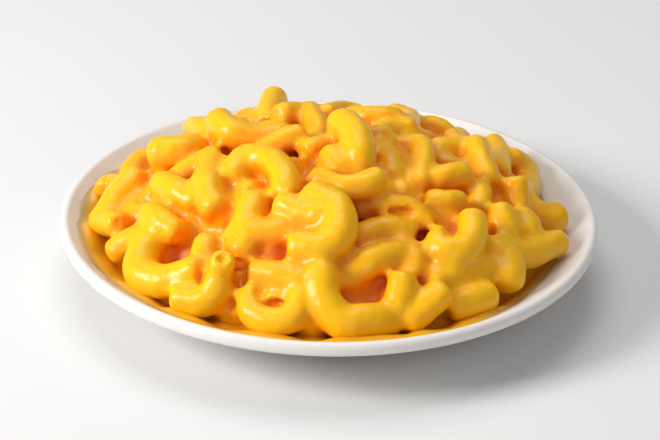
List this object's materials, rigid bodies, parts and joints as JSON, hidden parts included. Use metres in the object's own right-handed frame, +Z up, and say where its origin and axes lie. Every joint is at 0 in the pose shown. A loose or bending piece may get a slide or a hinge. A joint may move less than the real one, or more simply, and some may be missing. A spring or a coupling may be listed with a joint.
{
  "type": "plate of macaroni and cheese",
  "caption": "Round white side plate with a domed heap of elbow macaroni in glossy yellow cheese sauce.",
  "frame": {"origin": "on the table under the middle of the plate, level with the bottom of its foot ring", "axes": "+Z up through the middle of the plate, -Y towards the diner, +X to the diner's right"},
  "size_m": [0.1778, 0.1778, 0.0575],
  "materials": {
    "porcelain": "glossy white glaze",
    "cheese_sauce": "wet and glossy, orange yellow",
    "macaroni": "coated in wet, glossy, warm yellow sauce"
  },
  "bodies": {
    "root": {"plate": "porcelain", "cheese_sauce": "cheese_sauce", "macaroni": "macaroni"}
  },
  "joints": []
}
